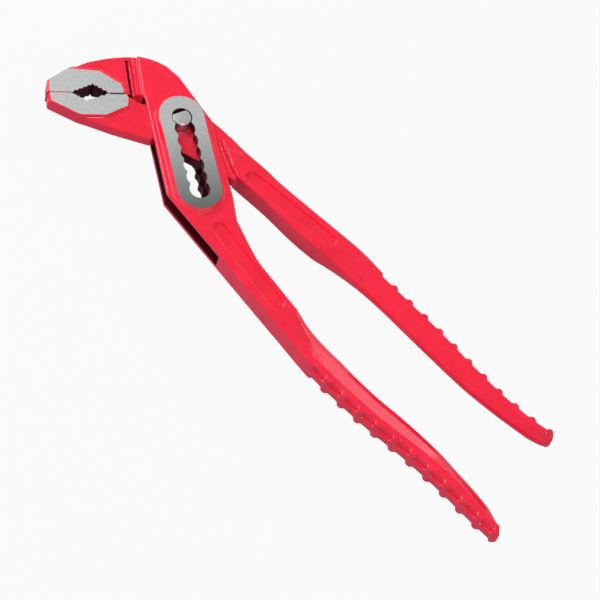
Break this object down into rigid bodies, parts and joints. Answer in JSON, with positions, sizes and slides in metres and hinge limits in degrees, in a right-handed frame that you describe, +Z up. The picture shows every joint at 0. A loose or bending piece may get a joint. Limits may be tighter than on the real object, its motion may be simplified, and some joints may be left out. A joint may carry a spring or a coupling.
{
  "type": "water pump pliers",
  "caption": "Slip-joint box-type pliers with long pocketed red handles, angled serrated jaws and a flat-sided pivot pin that steps along a scalloped slot",
  "frame": {"origin": "on the pivot pin's axis, at the lower end face of the pin, which is level with the ground boss faces that the pliers lie on", "axes": "X runs from the jaws to the handles, Y towards the upper handle, Z up along the pivot's axis"},
  "size_m": [0.2515, 0.075, 0.014],
  "materials": {
    "outer_arm": "gloss",
    "inner_arm": "gloss",
    "pivot_pin": "ground"
  },
  "bodies": {
    "outer_arm": {"outer_arm": "outer_arm"},
    "pivot_pin": {"pivot_pin": "pivot_pin"},
    "inner_arm": {"inner_arm": "inner_arm"}
  },
  "joints": [
    {"name": "notch_slide", "type": "slide", "parent": "outer_arm", "child": "pivot_pin", "axis": [0.7771, -0.6293, 0], "range_m": [0, 0.0339]},
    {"name": "arm_pivot", "type": "hinge", "parent": "pivot_pin", "child": "inner_arm", "pos_m": [0, 0, 0.007], "axis": [0, 0, 1], "range_deg": [0, 75]}
  ]
}
